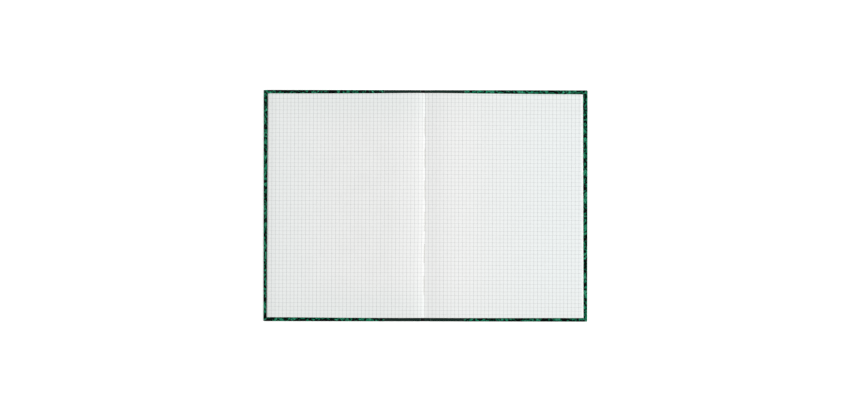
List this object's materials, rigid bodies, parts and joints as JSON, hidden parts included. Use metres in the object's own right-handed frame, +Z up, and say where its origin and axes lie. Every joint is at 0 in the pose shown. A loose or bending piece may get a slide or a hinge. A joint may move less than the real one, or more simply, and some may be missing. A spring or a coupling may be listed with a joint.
{
  "type": "hard-covered squared notebook",
  "caption": "Sewn A4 writing book with squared pages, lying open flat at its middle, with marbled hard covers, cloth spine and hinged covers.",
  "frame": {"origin": "under the middle of the spine, on the surface that the open book lies on", "axes": "+X across the open book towards the back cover, +Y towards the head, +Z up out of the pages"},
  "size_m": [0.4282, 0.306, 0.0076],
  "materials": {
    "page_paper": "uncoated white writing paper printed with grey 5 mm squares",
    "linen_thread": "white linen sewing thread",
    "gauze": "open starched cotton gauze",
    "lining_paper": "brown kraft paper",
    "endpaper": "plain white heavy paper",
    "grey_board": "grey millboard",
    "book_cloth": "very dark green book cloth, fine weave, matt",
    "marbled_paper": "green and black cloud-marbled paper, slightly glazed"
  },
  "bodies": {
    "text_block": {"page_block": "page_paper", "sewing_thread": "linen_thread", "spine_mull": "gauze", "spine_lining": "lining_paper", "front_endpaper": "endpaper", "back_endpaper": "endpaper", "spine_inlay": "grey_board", "spine_cloth": "book_cloth"},
    "front_cover": {"front_board": "grey_board", "front_cover_paper": "marbled_paper"},
    "back_cover": {"back_board": "grey_board", "back_cover_paper": "marbled_paper"}
  },
  "joints": [
    {"name": "front_hinge", "type": "hinge", "parent": "text_block", "child": "front_cover", "pos_m": [-0.00462, 0, 0.00115], "axis": [0, -1, 0], "range_deg": [0, 90], "deforming": ["spine_cloth", "spine_mull", "front_endpaper"]},
    {"name": "back_hinge", "type": "hinge", "parent": "text_block", "child": "back_cover", "pos_m": [0.00462, 0, 0.00115], "axis": [0, 1, 0], "range_deg": [0, 90], "deforming": ["spine_cloth", "spine_mull", "back_endpaper"]}
  ]
}
